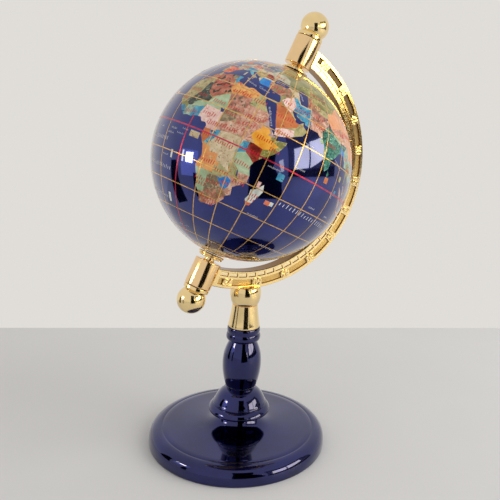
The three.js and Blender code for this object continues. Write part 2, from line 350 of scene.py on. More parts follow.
# The map, in pairs of longitude and latitude. Coasts bound the land, and seas are cut from it again.
COASTS = """
africa -6 36,-2 35.1,3 36.9,10 37.3,11 36.9,10.5 35.6,10.1 33.9,11.2 33,15.3 32.2,17 31.6,19 31.4,20.1 32,
21.6 32.4,23.2 32,25 31.3,28 30.5,31 30.4,31.8 29.6,31.4 28.4,32.1 27,33.6 25,35 23,37.2 21,37.3 19.5,
38.5 18,39.5 15.6,41.2 14.6,43.1 12.7,43.3 11.5,45 10.5,48 11.2,51.2 11.9,51 10.4,50 8,48 4.5,46 2.5,
42.4 -0.8,40 -3.5,38.9 -6.3,39.5 -8.5,40.5 -10.8,40.7 -15,37 -17.9,34.8 -19.8,35.5 -24,32.8 -25.6,
32.8 -27.5,31 -29.9,28.5 -32.8,25.7 -34,22 -34.2,20 -34.8,18.4 -34,18.3 -32,17 -29.5,15.2 -27,14.5 -23,
12.5 -18.5,11.8 -16.5,13.4 -12.5,13.8 -10.7,13.2 -8.8,12.2 -6,9.2 -2,9.5 1,9.8 3,9.3 4,8.3 4.6,6 4.3,
4.5 6.3,1.2 6,-2 4.8,-5 5.1,-7.5 4.4,-11.4 6.9,-13.2 8.8,-15 10.8,-16.7 12.4,-17.4 14.7,-16.4 16.5,
-16.3 19.5,-17 21,-16 23.7,-14.5 26.1,-13 27.8,-9.7 30,-8.5 33.3,-6.8 34.2;
eurasia -5.5 36.1,-6.4 36.8,-8.9 37,-9.4 38.8,-8.7 41,-9.2 43.1,-8 43.7,-4 43.5,-1.7 43.4,-1.2 45.5,
-2.4 47.3,-4.7 48.2,-1.8 48.7,-1.6 49.6,0.2 49.5,1.6 50.8,3.5 51.5,4.7 53,7 53.5,8.6 54,8.2 57,10.6 57.7,
10.9 56.4,9.8 55,11 54,14.2 54,18.5 54.7,19.8 54.4,21 55.5,21.2 57,22.6 57.7,24.3 57.1,23.5 59.2,28 59.6,
30 59.9,25 60.2,22.3 60,21.4 61.5,25.2 65,24 65.8,22.2 65.5,17.3 61.7,17.3 60.6,18.8 59.8,16.6 58.5,
16.4 56.7,14.3 55.6,12.9 55.5,11.2 58.8,10.6 59.4,7 58,5.6 58.8,5 61,9.5 63.8,12.5 66,15 68.3,19 69.9,
25 71,30.5 70,33 69.3,40.5 67.5,41 66.5,33 66.7,34.8 64.4,40.4 64.6,40 65.8,43 66.4,46.5 68,54 68.4,
60 68.8,66.8 69,67 71.2,69.5 73,73 71,72.8 68.5,74 68.5,75 72.3,80.5 73.5,87 75,98 76.3,104 77.7,113 76,
113.5 73.6,123 73,129 71.5,140 72.6,150 71.5,160 69.7,170 69.9,180 69,180 65,177.5 64.6,179.3 62.5,
170.5 60,163.3 59.5,162 56,160 53,156.7 51,155.7 55,161.5 60.5,164 62,160 61.7,154.5 59.5,142.5 59,
135.5 54.7,139 54.2,141.3 52.5,140.4 48.5,136 44.5,132 43.2,127.7 40,129.4 37,129.2 35.3,126.5 34.5,
126.5 37.5,125 39.6,121.5 39,121.5 40.7,118 39,122.5 37,119.3 35,121.8 32,122 30,119.5 25.5,117 23.5,
114 22.3,110.5 21,108.5 21.7,106.7 20.5,105.8 18.8,108.8 15.5,109.3 12,107 10.5,104.8 8.7,105 10.3,
102.5 12.2,100.5 13.5,99.5 11,100.6 7.2,103.4 4,103.8 1.4,101.3 2.9,100.3 6,98.3 8,98.5 12,97.6 16.3,
94.3 16,94.3 19,92 21.5,88.5 21.8,87 21.3,85 19.4,82.3 16.6,80.2 15.5,80.3 13.2,79.8 10.4,77.5 8.1,76.3 10,
74.7 13.5,73.3 17,72.7 21.3,70.5 20.8,69 22.3,70.3 23,68.2 23.7,66.7 25.2,61.6 25.1,57.3 25.7,56.8 27.1,
54.7 26.6,51.5 27.8,50 30.1,48 29.6,50.2 26.5,51.2 26,51.6 24.4,54 24.2,56.3 26.2,56.6 24.4,59.8 22.5,
57.8 19,55.2 17.6,52 15.6,48.5 14,45 12.8,43.3 12.8,42.7 16.4,41.2 20,40.2 23.4,39 27,38 29.4,32 29.6,
32 30.4,38.4 30.6,39.2 31.4,38.8 33.4,37.8 35.4,34.6 35.8,31.6 36.2,30.4 37.2,28.8 37,27 37.2,24 37.2,
22.4 37.4,21 39,19.4 40.8,19.4 42,16 43.5,13.6 45.3,12.3 45.3,12.5 44,14 42.4,16.2 41.8,18.5 40.1,17 40.4,
15.9 38,15.7 40,12.5 41.6,10.4 43.2,8.8 44.4,7 43.5,4 43.5,3.1 42.4,0.7 40.8,-0.3 39.4,-0.8 37.7,-2 36.8,
-4.5 36.7;
chukotka -180 69,-175 67.5,-170 66,-173 64.4,-180 65;
madagascar 49.2 -12,50.4 -15.5,49.5 -18,47 -25,45 -25.5,43.4 -22.5,44.4 -20,44 -17,46.5 -15.6,48 -13.5;
britain -5.5 50.1,1.3 51.2,1.6 52.8,0 53.4,-1.5 55,-2 57.6,-3.2 58.6,-5 58.5,-5.6 56,-3 54.2,-4.6 53,
-3 51.4;
ireland -10 51.7,-6.3 52.2,-6 54.5,-7.5 55.3,-9.8 54;
iceland -24 65.5,-22 64,-18.5 63.5,-14 64.8,-16 66.4,-22 66.2;
svalbard 11 79.5,15 77,18 76.7,26 80,18 80.2;
novaya_zemlya 52 71.5,57.5 70.7,56 73,68.5 76.5,66 76.8,54 75;
sicily 12.5 38,15.5 38.2,15.2 36.8;
sardinia 8.3 39,9.6 39.2,9.5 42.8,8.5 42;
crete 23.5 35.3,26.3 35.1,26.2 35.6,23.6 35.7;
cyprus 32.4 34.8,34 34.9,34 35.5,32.8 35.3;
sri_lanka 80 9.7,81.8 7.5,81 6.1,79.9 7;
sumatra 95.3 5.6,98.5 3.8,104 -2,106 -5.8,104.5 -5.9,100.3 -1,97 3;
java 105.2 -6.8,108.5 -6.7,114.4 -7.7,114.5 -8.7,108 -7.8;
borneo 109 1.5,111.5 1.6,115 5,117 7,119 5.2,117.5 0.8,116.3 -3.5,114.5 -4,110.2 -2.9;
sulawesi 119.5 -5.5,119 -3,120 1,125 1.6,120.7 0,121 -1,123.3 -1,121.8 -2,122.8 -4.6,120.6 -2.9,120.4 -5.5;
new_guinea 131 -0.8,134 -0.9,135 -3.3,138 -1.6,145 -4.3,147.8 -6,147 -7,150.8 -10.4,143 -9,138 -8.3,
137.8 -5.4,133 -4;
luzon 120.4 16,120.6 18.5,122.2 18.4,121.6 15.5,124 12.7,121 13.7;
mindanao 122 7,125.5 9.8,126.5 7.5,125.5 5.8;
taiwan 120.1 23,121.6 25.2,121 22;
honshu 131 34.2,135.5 35.6,137 37.3,140 40.5,141.4 41.4,142 39.5,140.9 36,138.5 34.7,135.8 33.5;
kyushu 129.7 33.2,131.7 33.5,131.3 31.4,130.2 31.2;
hokkaido 140 42,141.5 45.4,145.3 43.5,143.2 42;
sakhalin 142 46,142.2 54,143 54,144.5 49,143.5 46;
australia 114 -22,113.5 -26,115.7 -32,115 -34.3,118 -35,124 -33,129 -31.6,132 -32,135.5 -34.8,138 -33,
138 -35.5,140.5 -38,143.5 -38.8,150 -37.4,151.3 -33.5,153.5 -28.5,151 -24,149 -20.5,146 -18.8,145.4 -15,
142.5 -10.8,140.8 -17.5,135.7 -15,136.8 -12.2,133 -11.5,130.5 -12.5,129.5 -15,127 -14,122.2 -18,118.5 -20.3;
tasmania 144.7 -40.8,148.2 -40.9,148 -43.2,146 -43.5;
north_island 172.8 -34.5,175.8 -36.8,178.4 -37.7,177 -39.5,175.2 -41.6,173.8 -39.3;
south_island 172.7 -40.6,174.2 -41.5,171 -44.4,168.5 -46.6,166.5 -45.9,170.5 -43;
north_america -168 65.6,-162 66.5,-166.5 68.4,-156.7 71.3,-141 69.6,-128 70.5,-115 68.5,-96 68,-94 71.8,
-90 69,-81.5 69,-82 67,-87 65,-94 61,-94.7 58.7,-88 56.6,-82.3 55.1,-80 51.3,-79 54.6,-76.6 57,-78.5 58.8,
-77.5 62.4,-70 61,-69.5 59,-64.5 60.3,-61.5 57,-57 53.6,-60 50.2,-66.5 50.2,-69 48.6,-65 49.2,-64 46.2,
-60.5 46.8,-61 45.4,-66 43.5,-70 43.7,-70 41.7,-74 40.6,-76 37,-75.6 35.2,-81.3 31.7,-80.1 27,-80.5 25.2,
-82.8 28,-84 30,-89.4 29.1,-94 29.6,-97.2 27.8,-97.8 22.5,-96 19.2,-91.8 18.6,-90.4 20.8,-87 21.5,
-88.8 15.8,-83.2 15,-83.6 11,-81.5 9,-77.3 8.6,-78 7.5,-81.7 7.6,-85.7 10,-87.6 13,-94.5 16.2,-101.7 17.7,
-105.5 20.2,-109 26,-114.7 31.7,-109.5 23,-112 25,-116 30.5,-117.2 33,-120.6 34.6,-124.3 40.3,-124.7 48.4,
-122.8 49,-130.3 54.5,-137 58.5,-144 60,-151.7 59.3,-151.5 61,-164.8 54.6,-158 58.4,-162 59,-165.5 61.5,
-161 64.4;
south_america -77.3 8.6,-75.5 10.6,-72 12.2,-71.5 10.8,-62 10.7,-57 6,-51.5 4.3,-50 -1,-44.5 -2.5,-40 -2.9,
-35.2 -5.5,-34.8 -8,-39 -13,-39 -17.5,-41 -22,-44.5 -23.1,-48.5 -26,-48.7 -28.5,-55 -34.9,-58 -34.2,
-57 -36.2,-57.7 -38.2,-62 -39,-65 -41,-67.5 -46,-65.8 -47.8,-69 -50.5,-68.5 -52.4,-65.2 -54.8,-68 -55.7,
-75.3 -50.5,-73 -42,-73.6 -38,-71.5 -33,-70.3 -24,-70.3 -18.3,-76 -14,-81.3 -5.5,-81 -1.5,-78.5 2.3,
-77.8 7.2;
greenland -73 78,-67 76,-60 76,-54 71.5,-51 69,-53.5 66.5,-51 63,-45 60,-42.5 61,-40 65,-25 69.5,-19 76,
-17 81.5,-30 83.4,-45 82.5,-60 82,-68 80;
baffin -80 73.7,-72 71.5,-62 66.8,-65 62.5,-72 64.5,-73 68,-85 70,-89 71,-88 73.8;
victoria -117 70,-105 69,-101 70,-105 73,-118 73;
ellesmere -90 76.5,-78 76.5,-62 82.5,-72 83,-90 81.5;
cuba -84.8 22,-80 23,-74.3 20.1,-78 19.9,-82 22.3;
hispaniola -74.4 18.4,-73.2 19.8,-68.5 18.6,-71.5 17.8;
newfoundland -59.3 47.7,-57 51.4,-55.5 51.5,-53 47;
antarctica -180 -78,-160 -78,-150 -77,-135 -74.5,-100 -73,-80 -73.3,-67 -69,-57 -63.3,-61 -70,-62 -75,
-60 -79,-35 -78,-20 -73.5,0 -70,30 -69.5,50 -66.7,70 -68,90 -66.5,110 -66,135 -66.2,150 -68.5,165 -71,
165 -78,180 -78,180 -89,-180 -89
"""
SEAS = """
black_sea 29.6 42.8,29.8 45.6,33 46.6,36.5 46,40.8 46,41 43.4,39.4 42.4,35 42.8,31.2 42;
caspian 48.2 45.8,52 46.4,56 45,57.2 40,57 36.4,52 36.2,50.6 39,49.6 42;
aral 58.5 45,60 46.5,61.3 45.5,60 43.9;
lake_chad 12.4 14.6,14.6 14.2,14.6 12.6,13.2 12.4;
great_lakes -92 46.7,-88 48.8,-84.6 46.6,-80.2 45.3,-82.3 43,-84.6 45.7,-86.5 42,-87.8 42.2,-87 45.7;
malawi_lake 34 -9.7,34.6 -11.5,35 -13.6,34.3 -13.6,34 -11.6
"""

# Which stone fills which land. A cell may pass its coast, and a later one covers an earlier one.
CELLS = """
khaki -20 -36,-20 38,60 38,60 -36;
beige_speckled -12 35,-12 60,60 60,60 35;
moss 28 44,28 82,180 82,180 44;
moss -180 60,-180 75,-165 75,-165 60;
salmon 73 39,80 45,88 49,97 42,110 42,120 50,130 48,124 20,108 18,98 22,97 28,88 28,78 32;
streaked -18 36.5,-2 36.5,-1.5 32.5,-8.7 28.7,-8.7 27,-14 27.5;
khaki -18 28,-8.7 28,-5 25,-5.5 15.5,-12.3 14.8,-17.8 16.2;
snowflake -11.6 12.6,-8 16,-5.6 20,-5.4 26,-2.6 28,0.4 24,1.2 19,4 18,3.6 15.6,0.2 14.6,-2.4 10.8,-7 9.8;
algeria -4.4 36,8.5 37.5,8 33.4,9.2 30,10 27,12.2 24.6,7.4 21,3.6 18.4,-0.6 20.6,-2.6 26,-4.6 30;
grey_brown 4.2 37.4,8.4 37.6,8 33.4,5 33.8;
turquoise 8.3 37.6,11.8 37.6,12.4 33,10.4 31.4,7.9 33.4;
sand 11 33,15 33.5,25.6 33.2,27.6 28.4,23 25.4,17 24.8,12.4 24.4,9.8 27.2,9.2 30.2,10.4 31.4;
khaki 25.8 32.6,33.5 32,34.9 29.4,34 27,37.5 22,25 22,25 26.6,27.6 28.4;
sea_green 4.2 16.5,5.8 19.5,12 23.5,15 22.8,15.5 16.5,13.5 13.7,7 13,4 13.6,2.3 12,0.3 14.5,3.5 15.3;
rust_pink 15 16,12.6 24,17 24.9,23 25.5,25 26.6,25 15.4;
grey_brown 13.6 12.6,15 16,24 15.4,22 11,19 9,15.5 7.5,15.2 10;
mottled_pink 25 22,37.3 22,39 18,36.8 16.5,36.3 12.5,33 7.8,35.2 5.3,30.8 3.6,27.5 5,24 8.8,22 13,24 20;
grey_pink 36.5 14.5,37.5 18,39 18.3,43.8 12.5,42.3 11.5,40 14.4;
olive 42.7 12,51.8 12.5,51.5 8,44 -1,41.2 -2.2,41 3.5,45 5,48 8,43 9.3;
orange 36 12.7,36.5 14.4,40 14.5,42.3 11.6,43 9.4,48 8,45 5,41 3.5,36 4.5,33 7.8,34 10.5;
dark_red 34 4.3,36 4.5,41 3.6,41.2 -1.5,42 -2,39.2 -5,37.5 -3,34 -1;
turquoise 29.4 -3,29.5 0.5,31 3.7,34 4.2,34 -1,31 -2.8;
beige_speckled 12 -5.8,17 -8,21.8 -7.3,22 -11,26 -12,29.8 -13.4,28.4 -9.3,30.7 -8.3,29 -2.7,31 3.6,28 4.4,
18.6 4.3,18 1,15 -4.5;
saddle 8 2.3,13.2 2.3,14.4 -1,12 -5,8 -3;
turquoise 13.2 2.3,18.5 3.8,17.8 0.5,16.2 -2,15 -4.5,12.4 -4.6,14.4 -1;
mottled_pink 15 7.5,19 9,22.5 11,24 8.8,27.5 5,22.5 4.2,18.2 3.6,15 3;
pale_pink 2.7 6,2.8 9,3.6 11.7,4 13.6,9 13.2,9.4 7,8.4 3.6;
pale_pink 8.4 3.6,9.4 7,9 13.2,14.5 12.8,15 10,15.4 7.5,14.8 5,16 2.2,9 2.2;
pale_green -7.8 4,-3 4.8,-2.8 10,-5.5 10.6,-8 10.3;
sea_green -5.5 10.5,0 11,2.2 12,0.2 15,-3.5 13.8;
turquoise -2.9 4.5,-2.7 11,0 11.1,2.3 12.2,3.6 11.7,2.7 9,2.8 5.5;
turquoise -13.5 7,-7.5 4,-8.3 7.5,-10.5 9.8,-13.8 9.3;
olive -15.4 10.8,-11 12,-8 10.3,-8.4 7.6,-10.5 9.8,-13.5 9.2;
khaki -18 12.3,-18 16.3,-12.2 14.8,-11 12,-15 11;
peach 11 -5,16.5 -5.8,17 -8,21.8 -7.3,22 -11,24 -11,24 -13,22 -13,22 -17,11 -17.2;
khaki 24 -11,26 -12,29.8 -13.4,28.4 -9.3,30.7 -8.3,33 -9.5,33.2 -14,30.2 -15.3,27 -17.9,22 -17.4,22 -13,
24 -13;
olive 33 -9.5,34.6 -11.5,35.8 -16,35 -17,34.3 -14.5,33 -14;
mottled_pink 34.6 -11.5,41.5 -10.5,41 -16,35.8 -20,36 -24.5,32.2 -26.9,31.3 -22.4,32.8 -19.5,30.3 -15.6,
33.2 -14,34.3 -14.5,35 -17,35.8 -16;
sea_green 29.5 -4.5,30.5 -2.6,34 -1,37.5 -3,40 -4.8,41 -11,34.6 -11.5,33 -9.5,29.5 -7;
bright_blue 25.3 -17.8,27 -18,30.3 -15.6,33 -17,32.7 -20.5,31.3 -22.4,29 -22.2;
sea_green 11 -17.2,23.3 -17.5,21 -18.2,20 -28.6,13 -28.8;
grey_brown 20 -18.2,25.3 -17.8,29.3 -22.2,26.5 -24.6,22.6 -26,20 -26.9;
red_mottled 15.5 -28.5,20 -28.6,20 -26.9,22.6 -26,26.5 -24.6,29.5 -22.2,31.3 -22.4,33.5 -27,28 -36,15 -36;
mottled_pink 28.6 -29.8,31.5 -26.6,34 -27,29 -34,24 -35,22 -32;
pale_white 43 -12,51 -12,51 -23.4,43 -23.4;
orange_red 43 -23.4,51 -23.4,48 -26,44 -26;
saddle 37.4 30,39.4 31.6,43 29.8,47 28.2,51 25.4,54 24,53.2 21.6,47 18.2,42.4 16.2,39.6 23;
pale_pink 42.4 16.3,47 18.2,52.6 19.6,54 16,47 12,42 12;
khaki 54 24.2,56.5 27,60.5 23,56 16,53 16.4,52.6 19.4,53.4 21.8;
pale_pink 40 33,41.8 35.4,44 37.6,46.4 38,49.4 33.6,48.4 29.6,47.2 28.2,43.4 30;
moss 31 29,31 31,37.6 37,43.6 37.4,41.6 35.2,40 33,43.4 30,39.4 31.6,38 29;
red_mottled 29 36,28 42.4,31 42.6,42 43,46.6 39.4,44.4 36.6,40 36,36 35,32 35;
turquoise 46.6 38.4,49 39,52 35.6,57.4 35.8,61 36.6,63.4 31,64.4 26.4,62 24.4,50.2 28.8,48.2 29.6,49.4 33.6;
red_mottled 53 41.5,56 45.5,66 44,73 41,69 37,60 36.8,53.6 37;
khaki 60 44.6,70 42.4,74 41,75 37,68 37.2,60 41;
rust_pink 60.6 36.6,69 37.2,75 37.3,70.5 34,66 29.5,61 29.6;
mottled_pink 61 29.6,66 29.5,70.5 34,75 36.8,74.6 32.6,70 27.6,71 24,66 23.4,61 24.8;
paua 68 23.4,71 24,70 27.6,75 32.6,79 32,80.4 29,88 27,92 27.4,96 28.6,92.4 24,88.6 26,88.6 21,80.6 6,74 8;
sea_green 80.4 30.4,88.2 28,88.2 26.4,80.4 28.8;
bright_blue 88.6 26,92.4 24,92.6 20.6,88.4 21.2;
pale_green 92.4 24,97.4 28.4,101 21.6,98 15.6,93.8 15.6;
moss 97.4 18.4,101 20.4,105.2 16,102 12,98 6.4,97 12;
pale_green 100.6 20.6,104 23,108.2 21.6,110 10,105 8,102.6 12.2,105.2 16;
mottled_pink 79 33,90 36.5,99 33,98 28,88 28;
rust_pink 88 49,98 52.4,117 50,119 46.6,110 42.4,96 42.6;
saddle 124 40,131 43,131 34,125 34;
olive 50 51,60 54.6,74 54,87 49.4,80 42.2,68 41,56 45,47 46;
orange_red -10 44,-1.6 43.6,3.4 42.3,0 36.8,-6 35.8,-7.2 37,-6.6 42;
khaki -10 42.2,-6.6 42,-7.2 36.8,-10 36.6;
ash -5.6 48.4,2.4 51.2,8 49,7.4 43.4,3.2 42.3,-1.8 43.3;
saddle -6 49,-6 59,2 59,2 50.6;
sea_green -11 51,-11 56,-5.6 55.4,-6 51.6;
mottled_pink 6 54,14.4 54.4,15 51,12.6 47.6,7.6 47.6,6 50;
slate 12 58,22 60,30 62,28 55,24 50.6,18.6 49.4,13 50.8;
ash 7.6 38,7.6 42,19 42.4,19 38,15.8 36.4;
turquoise 6 42.4,6 48,14.4 47.4,15 41.6;
dark_red 22 48,29.6 48,30 45.2,28.6 43.6,22.6 44;
khaki 13.4 47,22.6 48,22.6 44,21 41.8,19 41.6,13 45.6;
bright_blue 21.4 42.6,27.8 43,29.2 37,26.6 34.8,21 36;
ash 24 51.6,34 53.4,40 50.6,40.6 46,29.4 45,26 48;
salmon 4 57,5 62,14 69,25 71.6,31 70,20 68.4,12 62,11.4 58.8;
khaki 11.4 58.8,12 62,20 68.4,24.2 66,17 60,17 55,12 55;
red_mottled 20.6 68.8,29 69.8,31.4 62,28 60,21 59.6,21 65;
pale_white -75 59,-75 84,-10 84,-10 59;
orange -25 63,-25 67,-13 67,-13 63;
moss -170 50,-141 50,-141 73,-170 73;
salmon -141 48.9,-95 48.9,-95 84,-141 75;
sea_green -95 41,-95 84,-58 83,-52 46,-74 45;
red_mottled -126 48.9,-104 48.9,-104 30,-118 31;
beige_speckled -104 48.9,-88 49,-88 28,-104 28;
pale_pink -88 46,-76 45,-67 47.4,-66 43,-78 24,-88 28;
saddle -118 32.6,-104 31.6,-96.6 26,-86 22,-91.8 15.6,-112 20;
turquoise -91.8 17.6,-82 17,-76 8,-84 7,-93 14;
orange_red -86 24,-84 19,-66 17,-66 21;
khaki -80 13,-60 11,-61 4,-70 -4,-82 -4;
mottled_pink -61 9,-50 5,-52 2,-60 1;
sea_green -60 2,-49 3,-33 -6,-40 -24,-54 -34,-58 -20,-66 -10,-70 -4;
red_mottled -82 -3,-70 -3,-66 -10,-58 -18,-62 -22,-70 -18,-80 -12;
orange -62 -22,-57 -22,-54 -34,-56 -40,-64 -56,-70 -50,-69 -30;
bright_blue -72 -17,-68 -18,-70 -34,-72 -52,-66 -57,-77 -52;
saddle 112 -20,129 -13,129 -36,112 -36;
khaki 129 -10,138 -10,138 -26,129 -26;
pale_pink 129 -26,141 -26,141 -39,129 -34;
turquoise 138 -10,154 -10,154 -29,141 -29,138 -26;
moss 141 -29,154 -28,151 -45,141 -45;
grey_pink 94 7,106 7,106 -7,94 0;
peach 106 -5,116 -6,116 -9,105 -9;
rust_pink 108 8,120 8,120 -5,108 -5;
orange 130 0,141 0,141 -10,130 -5;
bright_blue 141 -2,152 -4,152 -11,141 -10;
dark_red 118 2,126 2,126 -6,118 -6;
peach 119 20,127 20,127 5,119 5;
orange_red 129 46,147 46,147 31,129 31;
pale_white -180 -60,-30 -60,-30 -89,-180 -89;
beige_speckled -30 -60,60 -60,60 -89,-30 -89;
mottled_pink 60 -60,120 -60,120 -89,60 -89;
khaki 120 -60,180 -60,180 -89,120 -89;
saddle 166 -33,180 -33,180 -48,166 -48
"""

# Small inlaid label plates at sea: a stone, and the south-west and north-east corners. The pale_white plate
# from -6.6 -18.4 to -5.2 -14.2 is no plate but a painted reflection of a narrow lamp.
PLATES = """
beige_speckled 2.6 -4.6,8.6 -1.4; turquoise 53.2 -6.9,57 -3.1; pale_pink 45.8 -14.6,47.6 -11.4;
orange_red 53.6 -21,56.6 -18.6; pale_white 56.6 -20.6,58.6 -18.4; saddle 79.8 2.8,82.6 6;
khaki 92.2 7.6,94.4 10.6; pale_white -6.6 -18.4,-5.2 -14.2; pale_white -7.6 -42.4,-5.4 -37;
grey_pink 41 11.2,44.6 12.4; turquoise 91.6 -0.6,93.6 2.2; pale_pink -30 14.6,-26.4 17;
khaki -160 19,-155 22; orange_red 176 -19,179 -16; turquoise -173 -15,-170 -12;
pale_pink -150 -18.6,-147 -15.6; saddle 164 -22.8,167.4 -20; khaki -92 -1.6,-89.4 1
"""

# The globe

GRID_STEP = 2.5
CUT_SPACING = 3.7
MAP_MERGE = 1e-4
SKIN_MERGE = 2e-7
SKIN_SLIVER = 1e-7
WIRE_STEP = 15
WIRE_SEGMENT = 3
WIRE_END = 84
WIRE_WIDTH = 0.46 * MM
WIRE_DEPTH = 0.3 * MM
EQUATOR_WIDTH = 0.7 * MM
RED_MERIDIAN_END = 6
RAISED = 0.04 * MM


def parse(text):
    return [tuple(float(v) for v in group.split()) for group in text.split(",")]


def rows_of(table):
    """The name and the points of each row, where a semicolon ends a row."""
    rows = [row.split(None, 1) for row in table.split(";")]
    return [(name, parse(points)) for name, points in rows]


def on_globe(longitude, latitude, radius=GLOBE_RADIUS):
    """The frame's point at a longitude and latitude of the globe."""
    turned = math.radians(longitude) + MAP_TURN
    flat = math.cos(math.radians(latitude))
    height = math.sin(math.radians(latitude))
    unit = Vector((flat * math.cos(turned), flat * math.sin(turned), height))
    return TO_FRAME @ (unit * radius)


def within(places, polygon):
    """Which of the places, an array of longitudes and latitudes, lie in the polygon."""
    x, y = places[:, 0], places[:, 1]
    hit = np.zeros(len(places), bool)
    for (x0, y0), (x1, y1) in zip(polygon, polygon[1:] + polygon[:1]):
        if y0 != y1:
            crosses = (y0 > y) != (y1 > y)
            hit ^= crosses & (x < (x1 - x0) * (y - y0) / (y1 - y0) + x0)
    return hit


def seams_of_map(polygons):
    """The points and edges that the map's triangles have to follow: every outline, walked in short steps."""
    points = []
    edges = []
    at_the_seam = set()
    for polygon in polygons:
        for (x0, y0), (x1, y1) in zip(polygon, polygon[1:] + polygon[:1]):
            at_the_seam |= {y for x, y in ((x0, y0), (x1, y1)) if abs(x) == 180}
            if abs(x0) == 180 and x0 == x1:
                continue
            count = max(1, math.ceil(math.hypot(x1 - x0, y1 - y0) / GRID_STEP))
            first = len(points)
            for i in range(count + 1):
                points.append((x0 + (x1 - x0) * i / count, y0 + (y1 - y0) * i / count))
            edges += [(first + i, first + i + 1) for i in range(count)]
    latitudes = [-90 + GRID_STEP * i for i in range(int(180 / GRID_STEP) + 1)]
    longitudes = [-180 + GRID_STEP * i for i in range(int(360 / GRID_STEP) + 1)]
    points += [(x, y) for x in longitudes for y in latitudes]
    points += [(x, y) for x in (-180, 180) for y in sorted(at_the_seam)]
    return points, edges


def globe_mesh():
    """The ball: sea and stones in one closed skin, each triangle in the stone that it lies in."""
    coasts = [coast for _, coast in rows_of(COASTS)]
    seas = [sea for _, sea in rows_of(SEAS)]
    cells = rows_of(CELLS)
    plates = [(name, [(w, s), (e, s), (e, n), (w, n)]) for name, ((w, s), (e, n)) in rows_of(PLATES)]
    points, edges = seams_of_map(coasts + seas + [shape for _, shape in cells + plates])
    made = delaunay_2d_cdt([Vector(p) for p in points], edges, [], 0, MAP_MERGE)
    places = np.array([(v.x, v.y) for v in made[0]])
    triangles = np.array([f for f in made[2] if len(f) == 3])
    middles = places[triangles].mean(axis=1)

    land = np.zeros(len(triangles), bool)
    for coast in coasts:
        land |= within(middles, coast)
    names = list(STONES)
    kind = np.zeros(len(triangles), int)
    cut = np.zeros(len(triangles))
    for number, (name, cell) in enumerate(cells):
        covered = land & within(middles, cell)
        kind[covered] = names.index(name)
        cut[covered] = number + 1
    for sea in seas:
        kind[within(middles, sea)] = names.index("deep_blue")
    for number, (name, plate) in enumerate(plates):
        covered = within(middles, plate)
        kind[covered] = names.index(name)
        cut[covered] = len(cells) + number

    maker = bmesh.new()
    cut_layer = maker.faces.layers.float.new("cut")
    corners = [maker.verts.new(on_globe(x, y)) for x, y in places]
    for triangle, k, c in zip(triangles, kind, cut):
        face = maker.faces.new([corners[i] for i in triangle])
        face.material_index = int(k)
        face[cut_layer] = float(c) * CUT_SPACING
    bmesh.ops.remove_doubles(maker, verts=maker.verts, dist=SKIN_MERGE)
    bmesh.ops.dissolve_degenerate(maker, edges=maker.edges, dist=SKIN_SLIVER)
    return mesh_of(maker, "globe_stones")


def round_normals(mesh):
    """Shades the ball as the true sphere that its polished lacquer is."""
    outward = [(v.co - GLOBE_CENTRE).normalized() for v in mesh.vertices]
    mesh.normals_split_custom_set_from_vertices(outward)


def ribbon(maker, left, right, closed):
    """A thin inlaid strip between two rows of (longitude, latitude) places."""
    top, root = GLOBE_RADIUS + RAISED, GLOBE_RADIUS - WIRE_DEPTH
    rows = []
    for a, b in zip(left, right):
        places = ((a, top), (b, top), (b, root), (a, root))
        rows.append([maker.verts.new(on_globe(*place, radius)) for place, radius in places])
    for a, b in zip(rows, rows[1:]):
        join_rings(maker, a, b)
    if closed:
        join_rings(maker, rows[-1], rows[0])
    else:
        maker.faces.new(rows[0])
        maker.faces.new(rows[-1][::-1])


def wires(name, parallels, meridians, width, finish, north_end=WIRE_END):
    """The wires let into the ball along the given parallels, and along the meridians up to a latitude."""
    maker = bmesh.new()
    half = math.degrees(width / 2 / GLOBE_RADIUS)
    turn = range(0, 360, WIRE_SEGMENT)
    for latitude in parallels:
        ribbon(maker, [(x, latitude + half) for x in turn], [(x, latitude - half) for x in turn], True)
    climb = range(-WIRE_END, north_end + 1, WIRE_SEGMENT)
    for longitude in meridians:
        left = [(longitude - half / math.cos(math.radians(y)), y) for y in climb]
        right = [(longitude + half / math.cos(math.radians(y)), y) for y in climb]
        ribbon(maker, left, right, False)
    keep(mesh_of(maker, name), name, "ball", "gold_plate", [finish], crease=40)


STROKE_HEIGHTS = (1, 1, 0.66, 0.82)
STROKE_WIDTH = 0.17
STROKE_LEAN = 0.12
LAND_STROKES = (2.1, 1.2)


def stroke_rows(name, rows, finish, seed):
    """Rows of shallow strokes where the globe has words. row: start and end place, height and pitch."""
    maker = bmesh.new()
    draw = random.Random(seed)
    degree = GLOBE_RADIUS / MM * math.pi / 180
    for x0, y0, x1, y1, height, pitch in rows:
        middle = math.cos(math.radians((y0 + y1) / 2))
        east, north = (x1 - x0) * middle, y1 - y0
        length = math.hypot(east, north)
        east, north = east / length, north / length
        count = max(2, round(length * degree / pitch))
        for i in range(count):
            tall = height * draw.choice(STROKE_HEIGHTS) / degree
            lean = STROKE_LEAN * tall
            wide = height * STROKE_WIDTH / degree
            along = length * (i + 0.5) / count
            corners = []
            for u, v in ((-wide / 2, 0), (wide / 2, 0), (wide / 2 + lean, tall), (-wide / 2 + lean, tall)):
                x = x0 + ((along + u) * east - v * north) / middle
                y = y0 + (along + u) * north + v * east
                corners.append((x, y))
            top = [maker.verts.new(on_globe(x, y, GLOBE_RADIUS + RAISED)) for x, y in corners]
            root = [maker.verts.new(on_globe(x, y, GLOBE_RADIUS - RAISED)) for x, y in corners]
            maker.faces.new(top)
            maker.faces.new(root[::-1])
            for a in range(4):
                b = (a + 1) % 4
                maker.faces.new([top[a], root[a], root[b], top[b]])
    keep(mesh_of(maker, name), name, "ball", "inlaid_stone", [finish], crease=40)


